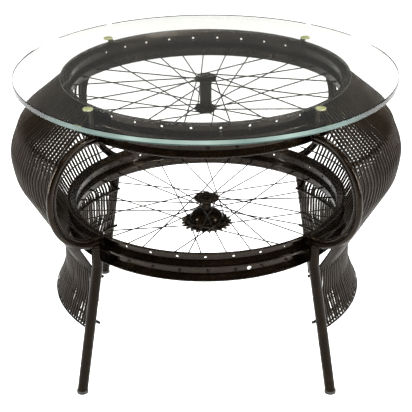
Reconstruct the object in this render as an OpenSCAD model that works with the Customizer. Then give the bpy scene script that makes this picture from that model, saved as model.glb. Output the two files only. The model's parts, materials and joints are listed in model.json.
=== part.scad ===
// Coffee table: a round glass top on two bicycle wheels, carried by bows and legs,
// with a panel of thin bent rods at the left and at the right.
// Millimetres, +Z up. The origin is on the floor, on the axis of the wheels, and -Y is the front.

/* [Glass top] */
// Diameter of the glass top
glass_d = 762; // [720:1:800]
// Thickness of the glass
glass_t = 12; // [8:1:15]
// Chamfer of the glass edge
glass_chamfer = 1.2; // [0.5:0.1:2]
// Diameter of the clear bumpers under the glass
bumper_d = 20; // [16:1:24]
// Thickness of the bumpers
bumper_t = 3.4; // [2.5:0.1:6]
// How far the middle of a bumper lies outside the middle of its post
bumper_shift = 9; // [0:0.5:10]
// Diameter of the posts beside the upper rims that carry the bumpers
post_d = 12; // [10:0.5:14]

/* [Rims] */
// Outer diameter of the rims
rim_d = 576; // [560:1:590]
// Width of a rim
rim_w = 28.7; // [26:0.1:31]
// Depth of a rim, from its outer edge to its hub side
rim_depth = 17; // [15:0.5:20]
// Wall of a rim
rim_wall = 1.8; // [1.4:0.1:2.2]
// Height of the straight lips at the outer edge
rim_lip = 6.5; // [5:0.5:8]
// Half width of the flat floor between the sloping walls
rim_floor_half = 5.3; // [4.5:0.1:6]
// Diameter of the spoke holes
spoke_hole_d = 4.6; // [4.4:0.1:5.4]
// Diameter of the valve hole
valve_hole_d = 8.5; // [7:0.5:9]
// Clear height under the lower pair of rims
lower_clear = 270.9; // [240:1:300]
// Free height between the lower and the upper pair of rims
pair_gap = 193.7; // [180:1:210]

/* [Spokes] */
// Number of spokes in a wheel
spoke_count = 32; // [28:4:36]
// Diameter of a spoke
spoke_d = 2; // [1.6:0.1:2.2]
// Flange steps from a spoke's rim hole to its hub hole
spoke_cross = 3; // [2:1:3]
// Diameter of a nipple's shank
nipple_d = 4; // [3.6:0.1:4.2]
// Length of a nipple inside the wheel
nipple_l = 9; // [6:0.5:12]
// Azimuth of a hole in the upper bare rim
upper_bare_phase = 6.4; // [0:0.1:11]
// Azimuth of a hole in the lower bare rim
lower_bare_phase = 0.2; // [0:0.1:11]
// Azimuth of a spoke hole in the upper wheel
upper_wheel_phase = 1.5; // [0:0.1:11]
// Azimuth of a spoke hole in the lower wheel
lower_wheel_phase = 1; // [0:0.1:11]

/* [Upper hub] */
// Diameter of the upper hub's flanges
upper_flange_d = 44; // [42:1:46]
// Distance of the spoke holes from the edge of those flanges
flange_hole_margin = 4; // [3:0.5:4.5]
// Distance between the middles of the flanges
upper_flange_space = 60.9; // [54:0.1:66]
// How far the middle of the hub lies below the middle of the spoked rim
upper_hub_drop = 2.6; // [0:0.1:4]
// Diameter of the barrel between the flanges
upper_barrel_d = 24; // [20:1:26]
// Diameter of the hub's ends
hub_end_d = 32; // [30:1:32]
// How far the ends stand out beyond the flanges
hub_end_l = 6; // [4.5:0.5:8]

/* [Lower hub] */
// Diameter of the lower hub's small flange
lower_flange_d = 52; // [50:1:54]
// Diameter of the wide flange under the dome
drum_flange_d = 86; // [84:1:90]
// Distance of the spoke holes from the edge of the wide flange
drum_hole_margin = 3.5; // [3:0.25:4]
// Diameter of the dome at its foot
drum_d = 71; // [60:1:71]
// Height of the dome
drum_h = 21; // [18:1:24]
// Diameter of the neck between the small flange and the dome
neck_d = 20; // [19:1:24]
// How far the wide flange lies below the middle of the spoked rim
drum_drop = 22.2; // [20:0.1:24]
// Distance between the middles of the two flanges
lower_flange_space = 48.5; // [44:0.5:52]

/* [Hub details] */
// Thickness of the flanges
flange_t = 3; // [2.5:0.1:3.5]
// Diameter of the recess that holds a bearing cup
cup_seat_d = 24; // [22:0.5:26]
// Depth of that recess
cup_seat_l = 7.5; // [7:0.5:8.5]
// Bore through the hubs
hub_bore_d = 13; // [11:0.5:14]
// Bore of a bearing cup
cup_bore_d = 15; // [14:0.5:18]

/* [Freewheel] */
// Outer diameter of the sprocket
sprocket_d = 105; // [100:1:110]
// Number of its teeth
sprocket_teeth = 24; // [20:1:26]
// Thickness of the sprocket
sprocket_t = 3.6; // [3:0.1:4]
// Distance from the pitch circle to the tips of the teeth
tooth_tip = 3.9; // [3:0.1:4.5]
// Diameter of the round seats between the teeth
tooth_seat_d = 7.9; // [7.6:0.1:8.1]
// Diameter of the freewheel's outer body
freewheel_d = 60; // [58:1:64]
// Diameter of the bearing face between its two bodies
freewheel_bore_d = 46; // [44:1:48]
// Diameter of the thread that it is screwed on
hub_thread_d = 34; // [33:0.5:35]
// Height of the freewheel
freewheel_h = 15; // [13:0.5:17]
// Height of the lock ring under it
lock_ring_h = 2; // [1.6:0.1:3]
// Running gap of the freewheel, on the radius
freewheel_gap = 0.3; // [0.3:0.05:0.5]

/* [Bows] */
// Angle between the X axis and the planes of the bows and legs, in degrees
corner_angle = 45.6; // [44:0.1:47]
// Diameter of the outer bar of a bow
bow_d = 12; // [10:0.5:13]
// Diameter of the inner bar of a bow
inner_bow_d = 7; // [6:0.5:8]
// How far the middle of a bow's half circle lies outside the rims' outer edge
bow_out = 7; // [0:0.5:12]
// How far a bow's upper end lies below the middle of the upper spoked rim
bow_high_drop = 4.15; // [2:0.1:5]
// How far a bow's lower end lies below the middle of the lower bare rim
bow_low_drop = 0.75; // [0:0.05:3]

/* [Legs] */
// Diameter of a leg
leg_d = 21; // [18:0.5:22]
// Wall of a leg's tube
leg_wall = 1.5; // [1.2:0.1:2]
// Distance of a leg's axis from the rims' outer edge
leg_out = 12; // [11.5:0.5:16]
// How far a foot stands out beyond the upper part of its leg
leg_splay = 55; // [45:0.5:65]
// How far below the rims a leg bends outwards
leg_bend_drop = 5.9; // [3:0.1:12]
// How far a foot cap stands out round its leg
cap_margin = 0.9; // [0.8:0.1:2.5]
// Height of a foot cap
cap_h = 6.5; // [5:0.5:9]
// Rounding of a foot cap's upper edge
cap_edge = 0.8; // [0.5:0.1:1.3]

/* [Side panels] */
// Number of rods in a panel, a multiple of three
rod_count = 51; // [30:3:54]
// Thickness of a rod
rod_d = 5.3; // [3:0.1:6.4]
// Clearance at the waist between the legs and the outermost rods
rod_leg_gap = 0.6; // [0.4:0.1:3]
// How far above the middle of the top rim the rods cross its outer edge
rod_mouth_up = 0.5; // [-1:0.5:3]
// Radius of the shoulder, measured from the rims' outer edge
shoulder_out = 85.8; // [82:0.1:92]
// How far the shoulder lies below the middle of the top rim
shoulder_drop = 70.2; // [66:0.1:76]
// Radius of the bulge, measured from the rims' outer edge
bulge_out = 105.7; // [102:0.1:112]
// How far the bulge lies below the middle of the top rim
bulge_drop = 118.5; // [114:0.1:128]
// Radius of the lower bend of the bulge, measured from the rims' outer edge
low_bulge_out = 98.1; // [94:0.1:102]
// How far the lower bend of the bulge lies below the middle of the top rim
low_bulge_drop = 164.7; // [158:0.1:172]
// Radius of the waist, measured from the rims' outer edge
waist_out = 7.7; // [7:0.1:13]
// How far the upper bend of the waist lies below the lower rims
waist_drop = 25.6; // [22:0.1:29]
// Length of the straight stretch between the bends of the waist
waist_l = 61.7; // [54:0.1:68]
// Radius of the rods' lower ends, measured from the rims' outer edge
hem_out = 29.5; // [26:0.5:36]
// How far the rods' lower ends lie below the lower rims
hem_drop = 147.2; // [140:0.1:154]
// Radius of the bend at the shoulder
shoulder_bend = 22; // [15:1:30]
// Radius of the upper bend of the bulge
bulge_bend = 63; // [50:1:70]
// Radius of the lower bend of the bulge
low_bulge_bend = 57; // [40:1:70]
// Radius of the bend at the waist
waist_bend = 20; // [15:1:30]
// Radius of the bend below the waist
flare_bend = 60; // [40:5:90]

/* [Ring rods] */
// Thickness of the ring rods
ring_d = 6; // [4:0.5:6.5]
// Thickness of the thin ring rods
thin_ring_d = 3.2; // [2.6:0.1:4]
// How far the shoulder ring lies below the corner of the shoulder
shoulder_ring_drop = 3; // [1:0.5:6]
// Direction of the tie ring, below the level of the bows' middle, in degrees
tie_ring_angle = 79; // [74:1:82]
// How far the waist ring lies below the lower rims
waist_ring_drop = 31.9; // [28:0.1:35]
// How far the upper thin ring of the flare lies below the lower rims
flare_ring_drop = 89.9; // [84:0.1:94]
// Distance between the two thin rings of the flare
flare_ring_space = 14; // [8:0.5:18]
// How far the bottom ring lies below the lower rims
bottom_ring_drop = 130; // [124:0.1:136]
// How far the tie rings reach past the planes of the legs, in degrees
tie_past_leg = 2.6; // [2.1:0.1:4]
// How far the waist and bottom rings reach past those planes, in degrees
ring_past_leg = 0.6; // [0:0.1:4]

/* [Hidden] */
$fn = 96;
// Clearance between pieces that are welded, tied or seated on each other
seat_gap = 0.3;
// Clearance between pieces of round section that lie against each other
lay_gap = 0.3;
// Height of a pair of rims on each other
rim_pitch = rim_w + seat_gap;
paint = [0.13, 0.11, 0.1];
bare_paint = [0.17, 0.14, 0.12];
worn_steel = [0.3, 0.27, 0.24];
clear_green = [0.72, 0.86, 0.8, 0.45];
clear_pad = [0.85, 0.86, 0.72, 0.8];

// Rounds of the small pieces: how far heads, lips and collars stand out
head_margin = 0.8;
rim_r = rim_d / 2;
rim_hub_side = rim_r - rim_depth;
lower_spoked_mid = lower_clear + rim_w / 2;
lower_bare_mid = lower_spoked_mid + rim_pitch;
lower_top = lower_bare_mid + rim_w / 2;
upper_spoked_mid = lower_top + pair_gap + rim_w / 2;
upper_bare_mid = upper_spoked_mid + rim_pitch;
upper_top = upper_bare_mid + rim_w / 2;
glass_z = upper_top + bumper_t;

// Section of a rim: straight lips, sloping walls and a flat floor
lip_inner_half = rim_w / 2 - rim_wall;
floor_r = rim_hub_side + rim_wall;
lip_foot_r = rim_r - rim_lip;
slope_run = (lip_foot_r - floor_r) / (lip_inner_half - rim_floor_half);
rim_section = [
    [rim_r, rim_w / 2],
    [lip_foot_r, rim_w / 2],
    [rim_hub_side, rim_floor_half + rim_wall / 2],
    [rim_hub_side, -rim_floor_half - rim_wall / 2],
    [lip_foot_r, -rim_w / 2],
    [rim_r, -rim_w / 2],
    [rim_r, -lip_inner_half],
    [lip_foot_r, -lip_inner_half],
    [floor_r, -rim_floor_half],
    [floor_r, rim_floor_half],
    [lip_foot_r, lip_inner_half],
    [rim_r, lip_inner_half]
];
// Radius of the channel's surface at a distance dz from the middle of the rim
function channel_r(dz) =
    abs(dz) <= rim_floor_half
        ? floor_r
        : floor_r + (min(abs(dz), lip_inner_half) - rim_floor_half) * slope_run;

// Spokes: four groups that take turns round the rim
hole_step = 360 / spoke_count;
spoke_turn = 2 * spoke_cross * hole_step;
upper_valve_turn = (spoke_count / 2 + 0.5) * hole_step;
lower_valve_turn = (spoke_count - 6.5) * hole_step;
upper_top_flange_z = upper_spoked_mid - upper_hub_drop + upper_flange_space / 2;
upper_low_flange_z = upper_top_flange_z - upper_flange_space;
drum_z = lower_spoked_mid - drum_drop;
lower_top_flange_z = drum_z + lower_flange_space;
flange_hole_d = spoke_d + 2 * seat_gap;
upper_hole_circle = upper_flange_d - 2 * flange_hole_margin;
lower_hole_circle = lower_flange_d - 2 * flange_hole_margin;
drum_hole_circle = drum_flange_d - 2 * drum_hole_margin;
head_d = spoke_d + 2 * head_margin;
head_t = spoke_d / 2;
nipple_head_d = spoke_hole_d + 2 * head_margin - 0.2;
nipple_head_t = 2 * head_margin;
nipple_bore_d = spoke_d + seat_gap;
spoke_in_nipple = 1;

drum_top_z = drum_z + flange_t / 2 + drum_h;
drum_under_z = drum_z - flange_t / 2;
freewheel_low_z = drum_under_z - freewheel_h;
core_lip_h = 1.6;
core_lip_w = 2.5;
sprocket_rise = 1.3;
sprocket_top_z = drum_under_z - core_lip_h - sprocket_rise;
core_lip_d = freewheel_bore_d + 2 * core_lip_w;
ring_thread_depth = 3;
ring_thread_d = freewheel_bore_d - 2 * ring_thread_depth;
lock_ring_w = 7;
lock_ring_d = ring_thread_d + 2 * lock_ring_w;
cup_lip = 2;
pitch_r = sprocket_d / 2 - tooth_tip;
hub_cone_l = 3;

// Bows and legs stand in four vertical planes through the wheels' axis
front_left = 180 + corner_angle;
front_right = 360 - corner_angle;
back_left = 180 - corner_angle;
back_right = corner_angle;
bow_high_z = upper_spoked_mid - bow_high_drop;
bow_low_z = lower_bare_mid - bow_low_drop;
bow_r = (bow_high_z - bow_low_z) / 2;
bow_z = (bow_high_z + bow_low_z) / 2;
inner_bow_r = bow_r - bow_d / 2 - inner_bow_d / 2 - seat_gap;
bow_high_root = channel_r(bow_high_drop + bow_d / 2) + seat_gap;
bow_low_root = channel_r(bow_low_drop + bow_d / 2) + seat_gap;
post_r = rim_r + post_d / 2 + seat_gap;
leg_r = rim_r + leg_out;
leg_top_z = bow_z - sqrt(bow_r * bow_r - (leg_out - bow_out) * (leg_out - bow_out));
leg_bend_z = lower_clear - leg_bend_drop;
leg_tilt = atan(leg_splay / leg_bend_z);
cap_d = leg_d + 2 * cap_margin;
// The ball in a sharp bend of a bar is this much wider than the bar
bend_extra = 0.2;

// Rods of the side panels
panel_half_angle = corner_angle - asin((leg_d / 2 + rod_leg_gap + rod_d / 2) / (rim_r + waist_out));
rod_step = 2 * panel_half_angle / (rod_count - 1);
rods_per_third = rod_count / 3;
bend_facet = 8;

// Unit vector from point a to point b
function unit(a, b) = (b - a) / norm(b - a);
// Points of a path with rounded corners; a corner is [r, z, bend radius]
function rounded(corners) = [
    for (i = [0:len(corners) - 1])
        let (p = [corners[i][0], corners[i][1]])
        if (i == 0 || i == len(corners) - 1)
            p
        else
            let (
                before = unit(p, [corners[i - 1][0], corners[i - 1][1]]),
                after = unit(p, [corners[i + 1][0], corners[i + 1][1]]),
                half = acos(before * after) / 2,
                centre = p + unit([0, 0], before + after) * corners[i][2] / sin(half),
                start = p + before * corners[i][2] / tan(half),
                end = p + after * corners[i][2] / tan(half),
                a = atan2(start[1] - centre[1], start[0] - centre[0]),
                b = atan2(end[1] - centre[1], end[0] - centre[0]),
                turn = (b - a + 540) % 360 - 180,
                steps = ceil(abs(turn) / bend_facet)
            )
            each [
                for (s = [0:steps])
                    centre + corners[i][2] * [cos(a + turn * s / steps), sin(a + turn * s / steps)]
            ]
];
// Points beside a path, at the distance d on its outer side
function beside(path, d) = [
    for (i = [0:len(path) - 1])
        let (way = unit(path[max(i - 1, 0)], path[min(i + 1, len(path) - 1)]))
        path[i] + d * [-way[1], way[0]]
];
// Radius at which a falling path crosses the height z
function radius_at(path, z) = [
    for (i = [0:len(path) - 2])
        if (path[i][1] >= z && path[i + 1][1] < z)
            path[i][0] + (path[i + 1][0] - path[i][0]) * (path[i][1] - z) / (path[i][1] - path[i + 1][1])
][0];

// A rod starts in the channel of the top rim, where its upper edge meets the sloping wall
rod_mouth = [rim_r, upper_bare_mid + rod_mouth_up];
shoulder = [rim_r + shoulder_out, upper_bare_mid - shoulder_drop];
rod_way = unit(shoulder, rod_mouth);
rod_edge = shoulder + [rod_way[1], -rod_way[0]] * rod_d / 2;
rod_reach = (rod_edge[0] - floor_r - (rod_edge[1] - upper_bare_mid - rim_floor_half) * slope_run)
    / (slope_run * rod_way[1] - rod_way[0]);
waist_z = lower_clear - waist_drop;
rod_path = rounded([
    shoulder + rod_way * (rod_reach - 2 * seat_gap),
    [shoulder[0], shoulder[1], shoulder_bend],
    [rim_r + bulge_out, upper_bare_mid - bulge_drop, bulge_bend],
    [rim_r + low_bulge_out, upper_bare_mid - low_bulge_drop, low_bulge_bend],
    [rim_r + waist_out, waist_z, waist_bend],
    [rim_r + waist_out, waist_z - waist_l, flare_bend],
    [rim_r + hem_out, lower_clear - hem_drop]
]);
// Radius of a ring of thickness d that lies inside the rods at the height z
function ring_r(z, d) = radius_at(beside(rod_path, -(rod_d + d) / 2 - seat_gap), z);
shoulder_ring_z = shoulder[1] - shoulder_ring_drop;
tie_ring_reach = inner_bow_r - (inner_bow_d + thin_ring_d) / 2 - seat_gap;
tie_ring_r = rim_r + bow_out + tie_ring_reach * cos(tie_ring_angle);
tie_ring_z = bow_z - tie_ring_reach * sin(tie_ring_angle);
waist_ring_z = lower_clear - waist_ring_drop;
flare_ring_z = lower_clear - flare_ring_drop;
bottom_ring_z = lower_clear - bottom_ring_drop;
// Half angle at which the shoulder ring ends beside the bars of the bows
shoulder_ring_half = corner_angle - asin((bow_d / 2 + seat_gap) / ring_r(shoulder_ring_z, ring_d));
tie_ring_half = corner_angle + tie_past_leg;
past_leg_half = corner_angle + ring_past_leg;
flare_ring_half = panel_half_angle + asin(rod_d / 2 / rim_r);

// Stands its children along the line from point a to point b
module along(a, b) {
    way = unit(a, b);
    translate(a)
        rotate([0, acos(way[2]), atan2(way[1], way[0])])
            children();
}

module glass_top() {
    color(clear_green)
        translate([0, 0, glass_z])
            rotate_extrude($fn = 180)
                polygon([
                    [0, 0],
                    [glass_d / 2 - glass_chamfer, 0],
                    [glass_d / 2, glass_chamfer],
                    [glass_d / 2, glass_t - glass_chamfer],
                    [glass_d / 2 - glass_chamfer, glass_t],
                    [0, glass_t]
                ]);
}

module glass_bumpers() {
    color(clear_pad)
        for (corner = [front_left, front_right, back_left, back_right])
            rotate([0, 0, corner])
                translate([post_r + bumper_shift, 0, upper_top])
                    cylinder(d = bumper_d, h = bumper_t);
}

// Upright bar from the top of a bow to the bumper, along the rims' outer edges
module post(corner) {
    color(bare_paint)
        rotate([0, 0, corner])
            difference() {
                translate([post_r, 0, bow_high_z])
                    cylinder(d = post_d, h = upper_top - bow_high_z);
                bow_bar(bow_r, bow_d + 2 * seat_gap, rim_r - post_d, rim_r - post_d);
            }
}

// A pair of rims lies flat; the spoke holes and the valve hole go through the floor
module rim(mid_z, phase, valve_turn) {
    color(paint)
        difference() {
            translate([0, 0, mid_z])
                rotate_extrude($fn = 180)
                    polygon(rim_section);
            for (i = [0:spoke_count - 1])
                rim_hole(mid_z, phase + i * hole_step, spoke_hole_d);
            rim_hole(mid_z, phase + valve_turn, valve_hole_d);
        }
}

module rim_hole(mid_z, turn, hole_d) {
    rotate([0, 0, turn])
        translate([rim_hub_side - rim_wall, 0, mid_z])
            rotate([0, 90, 0])
                cylinder(d = hole_d, h = 3 * rim_wall, $fn = 24);
}

// Place on a circle of diameter d at the height z
function on_circle(d, turn, z) = [d / 2 * cos(turn), d / 2 * sin(turn), z];
// Height of a spoke's bend over its flange, so that the spoke clears the flange's edge
function bend_height(circle_d, flange_d, fall) =
    flange_t / 2 + spoke_d / 2 + seat_gap
        + max(0, fall) * sqrt(flange_d * flange_d - circle_d * circle_d) / rim_d;

// One wheel's groups: [flange height, hole circle, flange diameter, lean, side, extra height]
// where side is 1 for spokes over the flange and -1 for spokes under it
upper_groups = [
    [upper_low_flange_z, upper_hole_circle, upper_flange_d, 1, -1, 0],
    [upper_top_flange_z, upper_hole_circle, upper_flange_d, 1, 1, 0],
    [upper_low_flange_z, upper_hole_circle, upper_flange_d, -1, 1, 0],
    [upper_top_flange_z, upper_hole_circle, upper_flange_d, -1, -1, 0]
];
lower_groups = [
    [drum_z, drum_hole_circle, drum_flange_d, -1, 1, 0],
    [lower_top_flange_z, lower_hole_circle, lower_flange_d, -1, 1, 0],
    [drum_z, drum_hole_circle, drum_flange_d, 1, 1, 1.9 * spoke_d],
    [lower_top_flange_z, lower_hole_circle, lower_flange_d, 1, -1, 0]
];
function spoke_bend(group, mid_z, turn) =
    on_circle(
        group[1],
        turn + group[3] * spoke_turn,
        group[0] + group[4] * (bend_height(group[1], group[2], group[4] * (group[0] - mid_z)) + group[5])
    );
function spoke_foot(mid_z, turn) = on_circle(2 * rim_hub_side, turn, mid_z);

module spokes(groups, mid_z, phase) {
    color(bare_paint)
        for (i = [0:spoke_count - 1]) {
            group = groups[i % 4];
            turn = phase + i * hole_step;
            spoke(spoke_bend(group, mid_z, turn), spoke_foot(mid_z, turn), group[0], group[4]);
        }
}

// A spoke: head and short leg in the flange, bend, and the straight length to its nipple
module spoke(bend, foot, flange_z, side) {
    tip = foot + unit(bend, foot) * spoke_in_nipple;
    head_z = flange_z - side * (flange_t / 2 + seat_gap + head_t / 2);
    along(bend, tip)
        cylinder(d = spoke_d, h = norm(tip - bend), $fn = 24);
    translate(bend)
        sphere(d = spoke_d + bend_extra, $fn = 24);
    translate([bend[0], bend[1], min(bend[2], head_z)])
        cylinder(d = spoke_d, h = abs(bend[2] - head_z), $fn = 24);
    translate([bend[0], bend[1], head_z - head_t / 2])
        cylinder(d = head_d, h = head_t, $fn = 24);
}

module nipples(groups, mid_z, phase) {
    color(worn_steel)
        for (i = [0:spoke_count - 1]) {
            turn = phase + i * hole_step;
            foot = spoke_foot(mid_z, turn);
            along(foot, spoke_bend(groups[i % 4], mid_z, turn))
                nipple();
        }
}

// A nipple, with its head in the rim's channel and its shank pointing along +Z
module nipple() {
    head_low = -rim_wall - 2 * seat_gap - nipple_head_t;
    difference() {
        union() {
            translate([0, 0, head_low])
                cylinder(d = nipple_head_d, h = nipple_head_t, $fn = 24);
            translate([0, 0, head_low])
                cylinder(d = nipple_d, h = nipple_l - head_low, $fn = 24);
        }
        translate([0, 0, head_low - 1])
            cylinder(d = nipple_bore_d, h = nipple_l - head_low + 2, $fn = 24);
    }
}

module flange_holes(circle_d, z, first_turn) {
    for (i = [0:spoke_count / 2 - 1])
        rotate([0, 0, first_turn + 2 * i * hole_step])
            translate([circle_d / 2, 0, z - flange_t])
                cylinder(d = flange_hole_d, h = 2 * flange_t, $fn = 24);
}

// Hub of the upper wheel; its axle is gone, so the bore is open from end to end
module upper_hub_shell() {
    low = upper_low_flange_z - flange_t / 2;
    top = upper_top_flange_z + flange_t / 2;
    color(paint)
        difference() {
            union() {
                translate([0, 0, low - hub_end_l])
                    cylinder(d = hub_end_d, h = hub_end_l + flange_t);
                translate([0, 0, top - flange_t])
                    cylinder(d = hub_end_d, h = hub_end_l + flange_t);
                translate([0, 0, low])
                    cylinder(d = upper_barrel_d, h = top - low);
                for (z = [upper_low_flange_z, upper_top_flange_z])
                    translate([0, 0, z - flange_t / 2])
                        cylinder(d = upper_flange_d, h = flange_t);
                translate([0, 0, low + flange_t])
                    cylinder(d1 = hub_end_d - 4, d2 = upper_barrel_d, h = hub_cone_l);
                translate([0, 0, top - flange_t - hub_cone_l])
                    cylinder(d1 = upper_barrel_d, d2 = hub_end_d - 4, h = hub_cone_l);
            }
            translate([0, 0, low - hub_end_l - 1])
                cylinder(d = hub_bore_d, h = top - low + 2 * hub_end_l + 2);
            translate([0, 0, low - hub_end_l - 1])
                cylinder(d = cup_seat_d, h = cup_seat_l + 1);
            translate([0, 0, top + hub_end_l - cup_seat_l])
                cylinder(d = cup_seat_d, h = cup_seat_l + 1);
            flange_holes(upper_hole_circle, upper_low_flange_z, upper_wheel_phase + spoke_turn);
            flange_holes(
                upper_hole_circle,
                upper_top_flange_z,
                upper_wheel_phase + hole_step + spoke_turn
            );
        }
}

// A bearing cup, open upwards, with its floor at z = 0
module cup() {
    cup_h = cup_seat_l - cup_lip;
    color(worn_steel)
        rotate_extrude()
            polygon([
                [cup_bore_d / 2, 0],
                [cup_seat_d / 2 - seat_gap / 2, 0],
                [cup_seat_d / 2 - seat_gap / 2, cup_h],
                [cup_seat_d / 2 - 1.2, cup_h],
                [cup_bore_d / 2, cup_h / 2]
            ]);
}

module upper_hub_cups() {
    translate([0, 0, upper_top_flange_z + flange_t / 2 + hub_end_l - cup_seat_l])
        cup();
    translate([0, 0, upper_low_flange_z - flange_t / 2 - hub_end_l + cup_seat_l])
        mirror([0, 0, 1])
            cup();
}

// Hub of the lower wheel: small flange, neck, domed body with a wide flange, and a thread
module lower_hub_shell() {
    top = lower_top_flange_z + flange_t / 2;
    color(paint)
        difference() {
            rotate_extrude()
                polygon([
                    [0, freewheel_low_z],
                    [hub_thread_d / 2, freewheel_low_z],
                    [hub_thread_d / 2, drum_under_z],
                    [drum_flange_d / 2, drum_under_z],
                    [drum_flange_d / 2, drum_under_z + flange_t],
                    for (a = [0:10:90])
                        [
                            neck_d / 2 + (drum_d - neck_d) / 2 * cos(a),
                            drum_under_z + flange_t + drum_h * sin(a)
                        ],
                    [neck_d / 2, top - cup_seat_l - 2 * hub_cone_l],
                    [cup_seat_d / 2 + 2, top - cup_seat_l - hub_cone_l / 2],
                    [cup_seat_d / 2 + 2, top - flange_t],
                    [lower_flange_d / 2, top - flange_t],
                    [lower_flange_d / 2, top],
                    [0, top]
                ]);
            translate([0, 0, freewheel_low_z - 1])
                cylinder(d = hub_bore_d, h = top - freewheel_low_z + 2);
            translate([0, 0, top - cup_seat_l])
                cylinder(d = cup_seat_d, h = cup_seat_l + 1);
            flange_holes(drum_hole_circle, drum_z, lower_wheel_phase - spoke_turn);
            flange_holes(
                lower_hole_circle,
                lower_top_flange_z,
                lower_wheel_phase + hole_step - spoke_turn
            );
        }
}

module lower_hub_cup() {
    translate([0, 0, lower_top_flange_z + flange_t / 2 - cup_seat_l])
        cup();
}

// Inner body of the freewheel, screwed on the hub up to its flange
module freewheel_core() {
    core_d = freewheel_bore_d - 2 * freewheel_gap;
    color(worn_steel)
        translate([0, 0, freewheel_low_z])
            rotate_extrude()
                polygon([
                    [hub_thread_d / 2 + seat_gap / 2, 0],
                    [ring_thread_d / 2, 0],
                    [ring_thread_d / 2, lock_ring_h],
                    [core_d / 2, lock_ring_h],
                    [core_d / 2, freewheel_h - core_lip_h],
                    [core_lip_d / 2, freewheel_h - core_lip_h],
                    [core_lip_d / 2, freewheel_h],
                    [hub_thread_d / 2 + seat_gap / 2, freewheel_h]
                ]);
}

// Outer body of the freewheel with its sprocket; it turns on the core
module freewheel_sprocket() {
    low = freewheel_low_z + lock_ring_h + freewheel_gap;
    top = drum_under_z - core_lip_h - freewheel_gap;
    color(bare_paint)
        difference() {
            union() {
                translate([0, 0, low])
                    cylinder(d = freewheel_d, h = top - low);
                translate([0, 0, sprocket_top_z - sprocket_t])
                    cylinder(d = sprocket_d, h = sprocket_t);
            }
            translate([0, 0, low - 1])
                cylinder(d = freewheel_bore_d, h = top - low + 2);
            for (i = [0:sprocket_teeth - 1])
                rotate([0, 0, i * 360 / sprocket_teeth])
                    translate([pitch_r, 0, sprocket_top_z - sprocket_t - 1])
                        tooth_gap(sprocket_t + 2);
        }
}

// The gap between two teeth, round at its floor and wider towards the tips
module tooth_gap(h) {
    wide = tooth_seat_d / 2 + tooth_tip * tan(15) + 0.5;
    cylinder(d = tooth_seat_d, h = h, $fn = 24);
    linear_extrude(h)
        polygon([
            [0, -tooth_seat_d / 2],
            [tooth_tip + 2, -wide],
            [tooth_tip + 2, wide],
            [0, tooth_seat_d / 2]
        ]);
}

module freewheel_lock_ring() {
    pin_hole_d = 2.5;
    color(worn_steel)
        translate([0, 0, freewheel_low_z])
            difference() {
                cylinder(d = lock_ring_d, h = lock_ring_h - seat_gap / 2);
                translate([0, 0, -1])
                    cylinder(d = ring_thread_d + seat_gap, h = lock_ring_h + 2);
                for (turn = [0, 180])
                    rotate([0, 0, turn])
                        translate([(ring_thread_d + lock_ring_d) / 4, 0, -1])
                            cylinder(d = pin_hole_d, h = lock_ring_h + 2, $fn = 24);
            }
}

// Half round bar in the XZ plane with two straight ends that run inwards to the given radii
module bow_bar(bend_r, bar_d, low_root, high_root) {
    translate([rim_r + bow_out, 0, bow_z])
        rotate([90, 0, 0])
            rotate([0, 0, -90])
                rotate_extrude(angle = 180)
                    translate([bend_r, 0])
                        circle(d = bar_d, $fn = 48);
    translate([low_root, 0, bow_z - bend_r])
        rotate([0, 90, 0])
            cylinder(d = bar_d, h = rim_r + bow_out - low_root, $fn = 48);
    translate([high_root, 0, bow_z + bend_r])
        rotate([0, 90, 0])
            cylinder(d = bar_d, h = rim_r + bow_out - high_root, $fn = 48);
}

// Outer bar of a bow; its ends sit in the channels of the rims
module bow(corner) {
    color(paint)
        rotate([0, 0, corner])
            bow_bar(bow_r, bow_d, bow_low_root, bow_high_root);
}

// Inner bar of a bow; it lies against the outer bar and ends at the rims' outer edges
module inner_bow(corner) {
    color(bare_paint)
        rotate([0, 0, corner])
            bow_bar(inner_bow_r, inner_bow_d, rim_r + seat_gap, rim_r + seat_gap);
}

// Upright and splayed stretch of a leg of diameter d, in the XZ plane
module leg_run(d) {
    translate([leg_r, 0, leg_bend_z]) {
        cylinder(d = d, h = leg_top_z - leg_bend_z, $fn = 48);
        sphere(d = d + bend_extra, $fn = 48);
        rotate([0, 180 - leg_tilt, 0])
            cylinder(d = d, h = leg_bend_z / cos(leg_tilt), $fn = 48);
    }
}

module leg(corner) {
    color(paint)
        rotate([0, 0, corner])
            difference() {
                leg_run(leg_d);
                leg_run(leg_d - 2 * leg_wall);
                bow_bar(bow_r, bow_d + 2 * seat_gap, rim_r - bow_d, rim_r - bow_d);
                translate([leg_r - leg_d, -leg_d, cap_h - leg_bend_z])
                    cube([leg_splay + 3 * leg_d, 2 * leg_d, leg_bend_z]);
            }
}

// Cap under a leg, flat on the floor, with a rounded upper edge
module foot_cap(corner) {
    foot_r = leg_r + leg_splay - cap_h * tan(leg_tilt) / 2;
    color(bare_paint)
        rotate([0, 0, corner])
            translate([foot_r, 0, 0])
                rotate_extrude($fn = 48)
                    polygon([
                        [0, 0],
                        [cap_d / 2, 0],
                        for (a = [0:15:90])
                            [cap_d / 2 - cap_edge + cap_edge * cos(a), cap_h - cap_edge + cap_edge * sin(a)],
                        [0, cap_h]
                    ]);
}

// One rod, bent in the XZ plane
module rod() {
    outer = beside(rod_path, rod_d / 2);
    inner = beside(rod_path, -rod_d / 2);
    rotate([90, 0, 0])
        linear_extrude(rod_d, center = true)
            polygon(concat(outer, [for (i = [len(inner) - 1:-1:0]) inner[i]]));
}

// A third of a panel's rods, counted from the front; the right panel is centred on +X
module rods(right, third) {
    color(bare_paint)
        for (i = [third * rods_per_third:(third + 1) * rods_per_third - 1])
            rotate([0, 0, right ? i * rod_step - panel_half_angle : 180 + panel_half_angle - i * rod_step])
                rod();
}

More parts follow.
